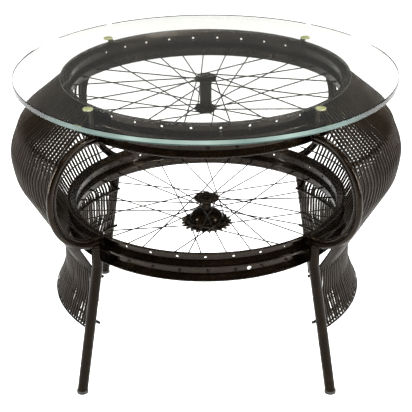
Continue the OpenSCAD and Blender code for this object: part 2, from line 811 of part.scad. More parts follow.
// Level ring rod round a panel, at the radius r and the height z
module ring_rod(right, r, z, d, half_angle) {
    color(paint)
        translate([0, 0, z])
            rotate([0, 0, (right ? 0 : 180) - half_angle])
                rotate_extrude(angle = 2 * half_angle, $fn = 180)
                    translate([r, 0])
                        circle(d = d, $fn = 32);
}

module shoulder_ring(right) {
    ring_rod(right, ring_r(shoulder_ring_z, ring_d), shoulder_ring_z, ring_d, shoulder_ring_half);
}

// Thin ring against the inner bars of the bows, beside the top of the lower rims
module tie_ring(right) {
    ring_rod(right, tie_ring_r, tie_ring_z, thin_ring_d, tie_ring_half);
}

module waist_ring(right) {
    ring_rod(right, ring_r(waist_ring_z, ring_d), waist_ring_z, ring_d, past_leg_half);
}

module flare_rings(right) {
    for (z = [flare_ring_z, flare_ring_z - flare_ring_space])
        ring_rod(right, ring_r(z, thin_ring_d), z, thin_ring_d, flare_ring_half);
}

module bottom_ring(right) {
    ring_rod(right, ring_r(bottom_ring_z, ring_d), bottom_ring_z, ring_d, past_leg_half);
}

glass_top();
glass_bumpers();
post(front_left);  // post_front_left
post(front_right);  // post_front_right
post(back_left);  // post_back_left
post(back_right);  // post_back_right
rim(upper_bare_mid, upper_bare_phase, upper_valve_turn);  // upper_bare_rim
rim(upper_spoked_mid, upper_wheel_phase, upper_valve_turn);  // upper_spoked_rim
spokes(upper_groups, upper_spoked_mid, upper_wheel_phase);  // upper_spokes
nipples(upper_groups, upper_spoked_mid, upper_wheel_phase);  // upper_nipples
upper_hub_shell();
upper_hub_cups();
rim(lower_bare_mid, lower_bare_phase, upper_valve_turn);  // lower_bare_rim
rim(lower_spoked_mid, lower_wheel_phase, lower_valve_turn);  // lower_spoked_rim
spokes(lower_groups, lower_spoked_mid, lower_wheel_phase);  // lower_spokes
nipples(lower_groups, lower_spoked_mid, lower_wheel_phase);  // lower_nipples
lower_hub_shell();
lower_hub_cup();
freewheel_core();
freewheel_sprocket();
freewheel_lock_ring();
bow(front_left);  // bow_front_left
bow(front_right);  // bow_front_right
bow(back_left);  // bow_back_left
bow(back_right);  // bow_back_right
inner_bow(front_left);  // inner_bow_front_left
inner_bow(front_right);  // inner_bow_front_right
inner_bow(back_left);  // inner_bow_back_left
inner_bow(back_right);  // inner_bow_back_right
leg(front_left);  // leg_front_left
leg(front_right);  // leg_front_right
leg(back_left);  // leg_back_left
leg(back_right);  // leg_back_right
foot_cap(front_left);  // foot_cap_front_left
foot_cap(front_right);  // foot_cap_front_right
foot_cap(back_left);  // foot_cap_back_left
foot_cap(back_right);  // foot_cap_back_right
rods(false, 0);  // left_rods_front
rods(false, 1);  // left_rods_middle
rods(false, 2);  // left_rods_back
rods(true, 0);  // right_rods_front
rods(true, 1);  // right_rods_middle
rods(true, 2);  // right_rods_back
shoulder_ring(false);  // left_shoulder_ring
tie_ring(false);  // left_tie_ring
waist_ring(false);  // left_waist_ring
flare_rings(false);  // left_flare_rings
bottom_ring(false);  // left_bottom_ring
shoulder_ring(true);  // right_shoulder_ring
tie_ring(true);  // right_tie_ring
waist_ring(true);  // right_waist_ring
flare_rings(true);  // right_flare_rings
bottom_ring(true);  // right_bottom_ring
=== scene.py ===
import json
import math
import random

import bpy
from mathutils import Matrix, Vector, noise


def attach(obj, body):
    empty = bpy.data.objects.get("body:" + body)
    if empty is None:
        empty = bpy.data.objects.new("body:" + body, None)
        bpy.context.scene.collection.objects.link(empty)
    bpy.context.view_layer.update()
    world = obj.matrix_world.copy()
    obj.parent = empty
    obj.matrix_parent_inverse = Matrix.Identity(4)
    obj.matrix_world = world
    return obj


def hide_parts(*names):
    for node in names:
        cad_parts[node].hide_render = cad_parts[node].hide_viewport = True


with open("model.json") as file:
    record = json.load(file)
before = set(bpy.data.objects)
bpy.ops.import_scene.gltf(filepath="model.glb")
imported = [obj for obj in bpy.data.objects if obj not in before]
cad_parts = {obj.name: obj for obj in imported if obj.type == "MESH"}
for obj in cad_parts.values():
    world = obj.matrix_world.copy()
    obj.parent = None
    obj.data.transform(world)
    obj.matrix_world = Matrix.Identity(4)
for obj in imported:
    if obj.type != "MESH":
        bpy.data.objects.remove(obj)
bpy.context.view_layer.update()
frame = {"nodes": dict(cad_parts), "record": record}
nodes = frame["nodes"]
print("frame loaded:", len(nodes), "nodes")


# heights and distances from the axis that a node reaches, to a thousandth of a millimetre
def spanOf(name):
    node = nodes[name]
    places = [node.matrix_world @ vertex.co for vertex in node.data.vertices]
    heights = [place.z for place in places]
    reaches = [place.xy.length for place in places]
    span = {"low": min(heights), "high": max(heights), "inner": min(reaches), "outer": max(reaches)}
    span["middle"] = (span["low"] + span["high"]) / 2
    return {key: round(value, 6) for key, value in span.items()}


# where a node stands round the axis, in degrees from +X
def turnOf(name):
    node = nodes[name]
    places = [node.matrix_world @ vertex.co for vertex in node.data.vertices]
    x = min(place.x for place in places) + max(place.x for place in places)
    y = min(place.y for place in places) + max(place.y for place in places)
    return round(math.degrees(math.atan2(y, x)), 2) % 360


def polar(r, angle, z):
    turn = math.radians(angle)
    return Vector((r * math.cos(turn), r * math.sin(turn), z))


# the middles of the side panels and the four corners, in degrees from +X
sides = {"right": 0.0, "left": 180.0}
corners = {
    "frontLeft": turnOf("post_front_left"), "frontRight": turnOf("post_front_right"),
    "backLeft": turnOf("post_back_left"), "backRight": turnOf("post_back_right"),
}
glassSpan = spanOf("glass_top")
padSpan = spanOf("glass_bumpers")
bowSpan = spanOf("bow_front_left")
innerBowSpan = spanOf("inner_bow_front_left")
rimSpans = {
    "lowerSpoked": spanOf("lower_spoked_rim"), "lowerBare": spanOf("lower_bare_rim"),
    "upperSpoked": spanOf("upper_spoked_rim"), "upperBare": spanOf("upper_bare_rim"),
}

# the section that all four rims share, in metres
rimForm = {
    "outerR": rimSpans["upperBare"]["outer"], "hubSideR": rimSpans["upperBare"]["inner"],
    "half": (rimSpans["upperBare"]["high"] - rimSpans["upperBare"]["low"]) / 2,
    "lipFootR": 0.2815, "floorHalf": 0.0062,
}


# a value is a number, a colour or another node's output
def feed(tree, socket, value):
    if isinstance(value, bpy.types.NodeSocket):
        tree.links.new(value, socket)
    else:
        socket.default_value = value


# a setting is one of the node's own properties, or else an input, with _ for each space of its name
def addNode(tree, kind, **settings):
    made = tree.nodes.new(kind)
    for key, value in settings.items():
        if hasattr(made, key):
            setattr(made, key, value)
        else:
            feed(tree, made.inputs[key.replace("_", " ")], value)
    return made


def addMath(tree, operation, *values):
    made = addNode(tree, "ShaderNodeMath", operation=operation)
    for socket, value in zip(made.inputs, values):
        feed(tree, socket, value)
    return made.outputs[0]


# stretches the values from start to end over low to high, and holds what lies outside at its end
def addSpread(tree, value, start, end, low=0.0, high=1.0):
    made = addNode(tree, "ShaderNodeMapRange", Value=value, From_Min=start, From_Max=end,
                   To_Min=low, To_Max=high)
    return made.outputs["Result"]


def addNoise(tree, place, scale, detail, roughness=0.5):
    made = addNode(tree, "ShaderNodeTexNoise", Vector=place, Scale=scale, Detail=detail,
                   Roughness=roughness)
    return made.outputs["Fac"]


def addRamp(tree, share, stops):
    ramp = addNode(tree, "ShaderNodeValToRGB", Fac=share)
    points = ramp.color_ramp.elements
    while len(points) < len(stops):
        points.new(0.5)
    for point, (place, colour) in zip(points, stops):
        point.position = place
        point.color = (*colour, 1.0)
    return ramp.outputs["Color"]


# a Mix node has its colours in sockets 6 and 7, and the mixed colour comes out of socket 2
def mixColours(tree, share, low, high):
    made = addNode(tree, "ShaderNodeMix", data_type="RGBA")
    feed(tree, made.inputs[0], share)
    feed(tree, made.inputs[6], low)
    feed(tree, made.inputs[7], high)
    return made.outputs[2]


def mixShaders(tree, share, low, high):
    made = addNode(tree, "ShaderNodeMixShader", Fac=share)
    feed(tree, made.inputs[1], low.outputs[0])
    feed(tree, made.inputs[2], high.outputs[0])
    return made


def heightOf(tree, vector):
    return addNode(tree, "ShaderNodeSeparateXYZ", Vector=vector).outputs["Z"]


# a place brought down to the floor plane, and its distance from the table's axis
def flattenPlace(tree, place):
    flat = addNode(tree, "ShaderNodeVectorMath", operation="MULTIPLY")
    feed(tree, flat.inputs[0], place)
    feed(tree, flat.inputs[1], (1.0, 1.0, 0.0))
    reach = addNode(tree, "ShaderNodeVectorMath", operation="LENGTH")
    feed(tree, reach.inputs[0], flat.outputs[0])
    return flat.outputs[0], reach.outputs["Value"]


def newMaterial(name):
    made = bpy.data.materials.new(name)
    made.use_nodes = True
    tree = made.node_tree
    shader = tree.nodes["Principled BSDF"]
    return made, tree, shader


# worn brown-black paint, and what each finish changes of it
paintBase = {
    "dark": (0.0012, 0.0007, 0.0004), "mid": (0.0032, 0.0018, 0.0008), "light": (0.009, 0.0056, 0.003),
    "darkAt": 0.3, "midAt": 0.62, "lightAt": 0.8,
    "worn": (0.03, 0.022, 0.015), "edgeFrom": 0.7, "edgeTo": 0.9, "wornFrom": 0.42, "wornTo": 0.62,
    "cloudScale": 38.0, "speckScale": 420.0, "runScale": 150.0, "runStretch": 0.4,
    "smooth": 0.14, "rough": 0.34, "smoothAt": 0.3, "roughAt": 0.7, "bump": 0.3, "bumpDepth": 0.00016,
    "metal": 0.0, "specular": 0.11, "warmth": (1.0, 0.7, 0.44), "coat": 0.11, "coatRough": 0.04,
    "rolled": 0.0, "rolledScale": 420.0,
}
paintLooks = {
    "framePaint": {"bump": 0.07},
    "legPaint": {"specular": 0.06, "coat": 0.07, "rough": 0.4},
    "rimPaint": {
        "light": (0.016, 0.0115, 0.008), "runScale": 220.0, "runStretch": 1.6, "bump": 0.55,
        "rolled": 2.6, "specular": 0.13, "coat": 0.2, "coatRough": 0.06,
    },
    "rodPaint": {
        "mid": (0.0036, 0.0024, 0.0014), "light": (0.014, 0.0096, 0.006), "cloudScale": 60.0,
        "smooth": 0.3, "rough": 0.55, "runStretch": 0.2, "bump": 0.4, "coat": 0.14,
    },
    "spokePaint": {"cloudScale": 90.0, "bump": 0.15, "coat": 0.06},
    "hubPaint": {"light": (0.024, 0.017, 0.012), "bump": 0.4, "edgeFrom": 0.56, "edgeTo": 0.7},
    "darkSteel": {
        "mid": (0.03, 0.024, 0.019), "light": (0.07, 0.056, 0.044), "metal": 0.75, "smooth": 0.3,
        "bump": 0.25, "coat": 0.0,
    },
    "lashWire": {"smooth": 0.35, "rough": 0.55, "coat": 0.2},
}


# mottled colour, with bare brown where the paint has worn off the sharp edges
def addPaintColour(tree, place, specks, look):
    clouds = addNoise(tree, place, look["cloudScale"], detail=6.0, roughness=0.6)
    tone = addRamp(tree, clouds, [
        (look["darkAt"], look["dark"]), (look["midAt"], look["mid"]), (look["lightAt"], look["light"]),
    ])
    bend = addNode(tree, "ShaderNodeNewGeometry").outputs["Pointiness"]
    edge = addSpread(tree, bend, look["edgeFrom"], look["edgeTo"])
    patch = addSpread(tree, specks, look["wornFrom"], look["wornTo"])
    return mixColours(tree, addMath(tree, "MULTIPLY", edge, patch), tone, (*look["worn"], 1.0))


# a rolled rim has fine lines all round it, so this height changes with radius and height only
def addRolledLines(tree, place, height, look):
    reach = flattenPlace(tree, place)[1]
    section = addNode(tree, "ShaderNodeCombineXYZ", X=reach, Y=heightOf(tree, place))
    lines = addNoise(tree, section.outputs[0], look["rolledScale"], detail=2.0)
    return addMath(tree, "MULTIPLY_ADD", lines, look["rolled"], height)


# runs of paint are drawn out along the height, specks are round
def addPaintHeight(tree, place, specks, look):
    drawn = addNode(tree, "ShaderNodeMapping", Vector=place, Scale=(1.0, 1.0, look["runStretch"]))
    runs = addNoise(tree, drawn.outputs["Vector"], look["runScale"], detail=4.0, roughness=0.55)
    height = addMath(tree, "ADD", runs, specks)
    if look["rolled"] > 0:
        height = addRolledLines(tree, place, height, look)
    return height


def makePaint(name, look):
    made, tree, shader = newMaterial(name)
    place = addNode(tree, "ShaderNodeTexCoord").outputs["Object"]
    specks = addNoise(tree, place, look["speckScale"], detail=3.0, roughness=0.7)
    feed(tree, shader.inputs["Base Color"], addPaintColour(tree, place, specks, look))
    gloss = addSpread(tree, specks, look["smoothAt"], look["roughAt"], look["smooth"], look["rough"])
    feed(tree, shader.inputs["Roughness"], gloss)
    bump = addNode(tree, "ShaderNodeBump", Height=addPaintHeight(tree, place, specks, look),
                   Strength=look["bump"], Distance=look["bumpDepth"])
    feed(tree, shader.inputs["Normal"], bump.outputs["Normal"])
    shader.inputs["Metallic"].default_value = look["metal"]
    shader.inputs["Specular IOR Level"].default_value = look["specular"]
    shader.inputs["Specular Tint"].default_value = (*look["warmth"], 1.0)
    shader.inputs["Coat Weight"].default_value = look["coat"]
    shader.inputs["Coat Roughness"].default_value = look["coatRough"]
    return made


paints = {name: makePaint(name, {**paintBase, **changes}) for name, changes in paintLooks.items()}

# clear glass; seen from outside, its polished edge is an opaque band of the glass's own green with
# painted light and painted shade on it, standing in for light through the edge and dark things seen in it
glassLook = {
    "tint": (0.978, 0.985, 0.94), "shadowTint": (0.95, 0.97, 0.94), "bending": 1.5,
    # the edge band's colours: the glass's own green, with painted shade and painted light in it
    "paintedEdgeShade": (0.002, 0.011, 0.007), "paintedEdgeDeepShade": (0.012, 0.05, 0.043),
    "paintedEdgeLight": (0.24, 0.33, 0.29), "paintedSlantShade": (0.03, 0.07, 0.058), "edgeRough": 0.06,
    "radius": glassSpan["outer"], "edgeSkin": 0.0006, "uprightBelow": 0.3,
    "lowZ": glassSpan["low"], "highZ": glassSpan["high"], "paintedShadeBand": 0.0022, "paintedShadeLine": 0.0014,
    "bandStep": 0.07, "lightUpTo": 0.93,
    "streakScale": 9.0, "streakFrom": 0.35, "streakTo": 0.65, "leastLight": 0.25,
    "lightTo": 0.15, "tealFrom": 0.27, "clearFrom": 0.54, "greenTo": 0.36,
}


# 1 on the polished edge where it is seen from outside, and 0 elsewhere
def addEdgeMask(tree, surface, reach, look):
    onEdge = addMath(tree, "GREATER_THAN", reach, look["radius"] - look["edgeSkin"])
    outside = addMath(tree, "SUBTRACT", 1.0, surface.outputs["Backfacing"])
    facing = heightOf(tree, surface.outputs["True Normal"])
    upright = addMath(tree, "LESS_THAN", facing, look["uprightBelow"])
    return addMath(tree, "MULTIPLY", addMath(tree, "MULTIPLY", onEdge, outside), upright)


# painted shade and light on the edge: a painted dark line at the foot, painted light above it in streaks
# along the edge, and a painted darker teal where it is seen at a slant
def addPaintedEdgeLight(tree, height, flat, slant, look):
    share = look["paintedShadeBand"] / (look["highZ"] - look["lowZ"])
    bands = addRamp(tree, addSpread(tree, height, look["lowZ"], look["highZ"]), [
        (0.0, look["paintedEdgeShade"]), (share, look["paintedEdgeShade"]), (share + look["bandStep"], look["paintedEdgeDeepShade"]),
        (share + 2 * look["bandStep"], look["paintedEdgeLight"]), (look["lightUpTo"], look["paintedEdgeLight"]),
        (1.0, look["paintedEdgeDeepShade"]),
    ])
    streaks = addNoise(tree, flat, look["streakScale"], detail=3.0)
    light = addSpread(tree, streaks, look["streakFrom"], look["streakTo"], look["leastLight"])
    tone = mixColours(tree, light, (*look["paintedEdgeDeepShade"], 1.0), bands)
    dull = addSpread(tree, slant, look["lightTo"], look["tealFrom"])
    return mixColours(tree, dull, tone, (*look["paintedSlantShade"], 1.0))


# the painted band shows where the edge is seen square on, as though the way through were long there, and
# gives way to clear glass at a slant; its painted dark line at the foot always shows
def addPaintedBandShare(tree, height, slant, look):
    square = addSpread(tree, slant, look["clearFrom"], look["greenTo"])
    foot = addMath(tree, "LESS_THAN", height, look["lowZ"] + look["paintedShadeLine"])
    return addMath(tree, "MAXIMUM", square, foot)


def makeGlass(look):
    made, tree, shader = newMaterial("clearGreenGlass")
    shader.inputs["Base Color"].default_value = (*look["tint"], 1.0)
    shader.inputs["Roughness"].default_value = 0.0
    shader.inputs["IOR"].default_value = look["bending"]
    shader.inputs["Transmission Weight"].default_value = 1.0
    surface = addNode(tree, "ShaderNodeNewGeometry")
    height = heightOf(tree, surface.outputs["Position"])
    flat, reach = flattenPlace(tree, surface.outputs["Position"])
    slant = addNode(tree, "ShaderNodeLayerWeight").outputs["Facing"]
    # an opaque band on the edge with painted light and painted shade, mixed over the clear glass where
    # the edge is seen from outside
    band = addNode(tree, "ShaderNodeBsdfPrincipled", Roughness=look["edgeRough"], IOR=look["bending"],
                   Base_Color=addPaintedEdgeLight(tree, height, flat, slant, look))
    green = addMath(tree, "MULTIPLY", addEdgeMask(tree, surface, reach, look),
                    addPaintedBandShare(tree, height, slant, look))
    seen = mixShaders(tree, green, shader, band)

    # light passes the glass, so that what is under it stays lit
    ray = addNode(tree, "ShaderNodeLightPath")
    clear = addNode(tree, "ShaderNodeBsdfTransparent", Color=(*look["shadowTint"], 1.0))
    lit = mixShaders(tree, ray.outputs["Is Shadow Ray"], seen, clear)
    feed(tree, tree.nodes["Material Output"].inputs["Surface"], lit.outputs[0])
    return made


clearGlass = makeGlass(glassLook)

padLook = {
    "colour": (0.42, 0.42, 0.26), "deep": (0.24, 0.24, 0.12), "cloudScale": 160.0,
    "deepAt": 0.35, "colourAt": 0.65, "rough": 0.25, "through": 0.35, "bending": 1.48,
}


def makePadMaterial(look):
    made, tree, shader = newMaterial("yellowedPad")
    place = addNode(tree, "ShaderNodeTexCoord").outputs["Object"]
    clouds = addNoise(tree, place, look["cloudScale"], detail=2.0)
    tone = addRamp(tree, clouds, [(look["deepAt"], look["deep"]), (look["colourAt"], look["colour"])])
    feed(tree, shader.inputs["Base Color"], tone)
    shader.inputs["Roughness"].default_value = look["rough"]
    shader.inputs["Transmission Weight"].default_value = look["through"]
    shader.inputs["IOR"].default_value = look["bending"]
    return made


padMaterial = makePadMaterial(padLook)

capLook = {
    "dark": (0.008, 0.007, 0.006), "light": (0.03, 0.026, 0.022), "dustScale": 260.0,
    "darkAt": 0.4, "lightAt": 0.7, "rough": 0.6, "bump": 0.3, "bumpDepth": 0.0004,
}


def makeCapMaterial(look):
    made, tree, shader = newMaterial("footRubber")
    place = addNode(tree, "ShaderNodeTexCoord").outputs["Object"]
    dust = addNoise(tree, place, look["dustScale"], detail=5.0)
    tone = addRamp(tree, dust, [(look["darkAt"], look["dark"]), (look["lightAt"], look["light"])])
    feed(tree, shader.inputs["Base Color"], tone)
    bump = addNode(tree, "ShaderNodeBump", Height=dust,
                   Strength=look["bump"], Distance=look["bumpDepth"])
    feed(tree, shader.inputs["Normal"], bump.outputs["Normal"])
    shader.inputs["Roughness"].default_value = look["rough"]
    return made


capRubber = makeCapMaterial(capLook)
print("materials made")


def addPiece(name, points, faces, material, slotName):
    mesh = bpy.data.meshes.new(name)
    mesh.from_pydata([tuple(p) for p in points], [], faces)
    mesh.polygons.foreach_set("use_smooth", [True] * len(mesh.polygons))
    mesh.materials.append(material)
    mesh.update()
    piece = bpy.data.objects.new(name, mesh)
    bpy.context.scene.collection.objects.link(piece)
    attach(piece, "table")
    return piece


# adds a round bar along the points to out, with one radius for each point
def sweepBar(points, radii, sideCount, out, closed=False):
    verts, faces = out
    base = len(verts)
    count = len(points)
    normal = None
    for i, point in enumerate(points):
        before = points[i - 1] if i > 0 or closed else point
        after = points[(i + 1) % count] if i < count - 1 or closed else point
        way = (after - before).normalized()
        if normal is None:
            normal = way.orthogonal().normalized()
        normal = (normal - way * normal.dot(way)).normalized()
        across = way.cross(normal)
        for s in range(sideCount):
            turn = 2 * math.pi * s / sideCount
            verts.append(point + (normal * math.cos(turn) + across * math.sin(turn)) * radii[i])
    rings = count if closed else count - 1
    for i in range(rings):
        low = base + i * sideCount
        high = base + ((i + 1) % count) * sideCount
        for s in range(sideCount):
            t = (s + 1) % sideCount
            faces.append((low + s, low + t, high + t, high + s))
    if not closed:
        faces.append(tuple(base + s for s in reversed(range(sideCount))))
        faces.append(tuple(base + (count - 1) * sideCount + s for s in range(sideCount)))


# an uneven value between -1 and 1 that changes smoothly from place to place
def stray(*place):
    return noise.noise(Vector(place))


# a path of straight stretches, with a round bend of its own radius at each turn
def roundedPath(start, turns, end, arcStep=4.0):
    path = [Vector(start)]
    spots = [Vector(start)] + [Vector((r, z)) for r, z, bend in turns] + [Vector(end)]
    for k, (r, z, bend) in enumerate(turns, 1):
        spot = spots[k]
        toBefore = (spots[k - 1] - spot).normalized()
        toAfter = (spots[k + 1] - spot).normalized()
        half = math.acos(max(-1.0, min(1.0, toBefore.dot(toAfter)))) / 2
        centre = spot + (toBefore + toAfter).normalized() * bend / math.sin(half)
        first = spot + toBefore * bend / math.tan(half)
        last = spot + toAfter * bend / math.tan(half)
        a = math.atan2(first.y - centre.y, first.x - centre.x)
        b = math.atan2(last.y - centre.y, last.x - centre.x)
        turn = (b - a + 3 * math.pi) % (2 * math.pi) - math.pi
        steps = max(2, math.ceil(abs(math.degrees(turn)) / arcStep))
        for s in range(steps + 1):
            now = a + turn * s / steps
            path.append(centre + Vector((math.cos(now), math.sin(now))) * bend)
    path.append(Vector(end))
    return path


# points at even distances along a path
def spaced(path, step):
    lengths = [0.0]
    for a, b in zip(path, path[1:]):
        lengths.append(lengths[-1] + (b - a).length)
    count = max(2, round(lengths[-1] / step))
    result, k = [], 0
    for i in range(count + 1):
        want = lengths[-1] * i / count
        while k < len(path) - 2 and lengths[k + 1] < want:
            k += 1
        share = (want - lengths[k]) / max(1e-9, lengths[k + 1] - lengths[k])
        result.append(path[k].lerp(path[k + 1], min(1.0, share)))
    return result


# rods of the side panels; each turn of their line is a distance from the axis, a height and a bend
rodPanel = {
    "count": 51, "halfAngle": 42.935, "radius": 0.00265, "sideCount": 8, "step": 0.008,
    "upperEnd": (0.27837, 0.57409), "lowerEnd": (0.3175, 0.1237),
    "turns": [
        (0.3738, 0.49545, 0.022),
        (0.3937, 0.44715, 0.063),
        (0.3861, 0.40095, 0.057),
        (0.2957, 0.2453, 0.020),
        (0.2957, 0.1836, 0.060),
    ],
    "wave": 0.0007, "looseWave": 0.0007, "looseBelow": 0.25, "looseOver": 0.12,
    "sideShare": 2.0, "sideWaves": 26.0, "depthShare": 0.6, "depthWaves": 22.0, "depthLayer": 9.0,
    "lump": 0.06, "lumpWaves": 90.0, "lumpLayer": 3.0, "tip": 0.8, "shifts": 50.0,
    "endSpread": 0.0012, "cutFrom": 0.8, "cutOver": 0.25, "seed": 11,
}
rodStep = 2 * rodPanel["halfAngle"] / (rodPanel["count"] - 1)
rodLine = roundedPath(rodPanel["upperEnd"], rodPanel["turns"], rodPanel["lowerEnd"])
rodSpots = spaced(rodLine, rodPanel["step"])
rodThirds = ["front", "middle", "back"]


# distance of the rods' line from the axis at a height
def radiusAt(z):
    for a, b in zip(rodLine, rodLine[1:]):
        if a.y >= z > b.y:
            return a.x + (b.x - a.x) * (a.y - z) / (a.y - b.y)
    return rodLine[-1].x


# a place on a panel counts from its middle, and the left panel mirrors the right one
def panelAngle(side, place):
    return place if side == "right" else sides[side] - place


# each rod waves in its own way, most at its loose lower end, and ends at its own height
def bendRod(angle, look, rng, out):
    cut = rng.uniform(-look["endSpread"], 0.0)
    shift = rng.uniform(0, look["shifts"])
    points, radii = [], []
    for spot in rodSpots:
        loose = max(0.0, (look["looseBelow"] - spot.y) / look["looseOver"])
        drift = look["wave"] + look["looseWave"] * loose
        side = look["sideShare"] * drift * stray(spot.y * look["sideWaves"], shift, 0.0)
        depth = look["depthShare"] * drift * stray(spot.y * look["depthWaves"], shift, look["depthLayer"])
        z = spot.y - cut * max(0.0, loose - look["cutFrom"]) / look["cutOver"]
        points.append(polar(spot.x + depth, angle + math.degrees(side / spot.x), z))
        lump = look["lump"] * stray(spot.y * look["lumpWaves"], shift, look["lumpLayer"])
        radii.append(look["radius"] * (1 + lump))
    radii[-1] *= look["tip"]
    sweepBar(points, radii, look["sideCount"], out)


def bendThird(side, number, third, look, rng):
    out = ([], [])
    perThird = look["count"] // len(rodThirds)
    for k in range(perThird):
        place = (number * perThird + k) * rodStep - look["halfAngle"]
        bendRod(panelAngle(side, place), look, rng, out)
    piece = addPiece(f"{side}RodsRound.{third}", *out, paints["rodPaint"], "rod_paint")
    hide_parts(f"{side}_rods_{third}")


rodRng = random.Random(rodPanel["seed"])
for side in ("left", "right"):
    for number, third in enumerate(rodThirds):
        bendThird(side, number, third, rodPanel, rodRng)
print("rods bent")

# wire lashings round the rods and the ring rods inside them
lashing = {
    "wire": 0.0006, "sideCount": 5, "turnSteps": 9, "gap": 0.0003,
    "loose": 0.0005, "looseWaves": 0.21, "ringShift": 40.0,
}
# a ring rod's node, its height over the middle of that node, and its thickness
lashedRings = {
    "shoulder": ("shoulder_ring", 0.0, 0.006),
    "waist": ("waist_ring", 0.0, 0.006),
    "flareHigh": ("flare_rings", 0.007, 0.0032),
    "flareLow": ("flare_rings", -0.007, 0.0032),
    "bottom": ("bottom_ring", 0.0, 0.006),
}


def windLashing(side, name, look):
    out = ([], [])
    node, above, thick = lashedRings[name]
    ringZ = spanOf(f"{side}_{node}")["middle"] + above
    rodOut = radiusAt(ringZ) + rodPanel["radius"]
    ringIn = rodOut - 2 * rodPanel["radius"] - look["gap"] - thick
    middle = (ringIn + rodOut) / 2
    deep = (rodOut - ringIn) / 2 + look["wire"]
    high = thick / 2 + look["wire"]
    points = []
    for i in range((rodPanel["count"] - 1) * look["turnSteps"] + 1):
        turn = 2 * math.pi * i / look["turnSteps"]
        place = rodStep * i / look["turnSteps"] - rodPanel["halfAngle"]
        slack = look["loose"] * stray(i * look["looseWaves"], ringZ * look["ringShift"], sides[side])
        r = middle + (deep + slack) * math.cos(turn)
        z = ringZ + (high + slack) * math.sin(turn)
        points.append(polar(r, panelAngle(side, place), z))
    sweepBar(points, [look["wire"]] * len(points), look["sideCount"], out)
    addPiece(f"{side}Lashing.{name}", *out, paints["lashWire"], "rod_paint")


for side in sides:
    for name in lashedRings:
        windLashing(side, name, lashing)

# two rows of wire bind the rods' lower ends on their outer and inner sides
hem = {
    "wire": 0.0011, "sideCount": 6, "rows": 2, "above": 0.0022, "pitch": 0.0021,
    "rodSteps": 4, "pastShare": 0.4, "loose": 0.0004, "looseWaves": 0.17, "rowShift": 5.0,
}


def bindHem(side, look):
    out = ([], [])
    reach = rodPanel["halfAngle"] + rodStep * look["pastShare"]
    steps = rodPanel["count"] * look["rodSteps"]
    for row in range(look["rows"]):
        z = rodPanel["lowerEnd"][1] + look["above"] + row * look["pitch"]
        for way in (-1, 1):
            points = []
            for i in range(steps + 1):
                place = -reach + 2 * reach * i / steps
                wander = stray(i * look["looseWaves"], row * look["rowShift"] + way, sides[side])
                slack = look["loose"] * wander
                r = radiusAt(z) + way * (rodPanel["radius"] + look["wire"] + abs(slack))
                points.append(polar(r, panelAngle(side, place), z + slack))
            sweepBar(points, [look["wire"]] * len(points), look["sideCount"], out)
    addPiece(f"{side}HemWire", *out, paints["lashWire"], "rod_paint")


for side in sides:
    bindHem(side, hem)
print("lashings wound")

# raised lines that rolling left on a rim: beads at its corners, fine lines on its slopes and its floor
rimLines = {
    "bead": 0.00085, "fine": 0.00045, "sideCount": 6, "steps": 144,
    "edgeInset": (0.0006, 0.0004), "footInset": (0.0004, 0.0002), "cornerInset": 0.0003,
    "slopeLines": 5, "floorLines": (0.0021, 0.0044), "floorInset": 0.0001,
}


def rollRimLines(name, mid, look):
    out = ([], [])
    half, floorHalf = rimForm["half"], rimForm["floorHalf"]
    foot, inner = rimForm["lipFootR"], rimForm["hubSideR"]
    rows = [
        (rimForm["outerR"] - look["edgeInset"][0], half - look["edgeInset"][1], look["bead"]),
        (foot + look["footInset"][0], half - look["footInset"][1], look["bead"]),
        (inner + look["cornerInset"], floorHalf, look["bead"]),
    ]
    for k in range(look["slopeLines"]):
        share = (k + 1) / (look["slopeLines"] + 1)
        r = inner + (foot - inner) * share
        rows.append((r, floorHalf + (half - floorHalf) * share, look["fine"]))
    rows += [(inner + look["floorInset"], dz, look["fine"]) for dz in look["floorLines"]]
    for r, dz, thick in rows:
        for way in (-1, 1):
            points = [polar(r, 360.0 * k / look["steps"], mid + way * dz) for k in range(look["steps"])]
            sweepBar(points, [thick] * look["steps"], look["sideCount"], out, closed=True)
    addPiece(f"rimLines.{name}", *out, paints["rimPaint"], "rim_paint")


for name, span in rimSpans.items():
    rollRimLines(name, span["middle"], rimLines)

# small drops of paint that dried on the flat sides and on the outer edge of a rim
specks = {
    "count": 420, "small": 0.0003, "large": 0.0009, "shortest": 1.0, "longest": 2.2,
    "sideShare": 0.5, "sideDepth": 0.006, "sideTall": 0.45,
    "edgeInset": 0.0003, "edgeNear": 0.0002, "edgeFar": 0.0016, "edgeTall": 1.3,
    "rows": 4, "sideCount": 6, "seed": 23,
}


# one drop; along, out and tall are its half lengths as vectors
def addDrop(centre, along, out, tall, look, verts, faces):
    base = len(verts)
    rows, sideCount = look["rows"], look["sideCount"]
    for row in range(1, rows):
        lean = math.pi * row / rows
        for s in range(sideCount):
            turn = 2 * math.pi * s / sideCount
            flat = along * math.cos(turn) + out * math.sin(turn)
            verts.append(centre + flat * math.sin(lean) + tall * math.cos(lean))
    top = len(verts)
    verts.append(centre + tall)
    verts.append(centre - tall)
    last = top - sideCount
    for s in range(sideCount):
        t = (s + 1) % sideCount
        faces.append((base + t, base + s, top))
        faces.append((last + s, last + t, top + 1))
        for a in range(base, last, sideCount):
            b = a + sideCount
            faces.append((a + s, a + t, b + t, b + s))


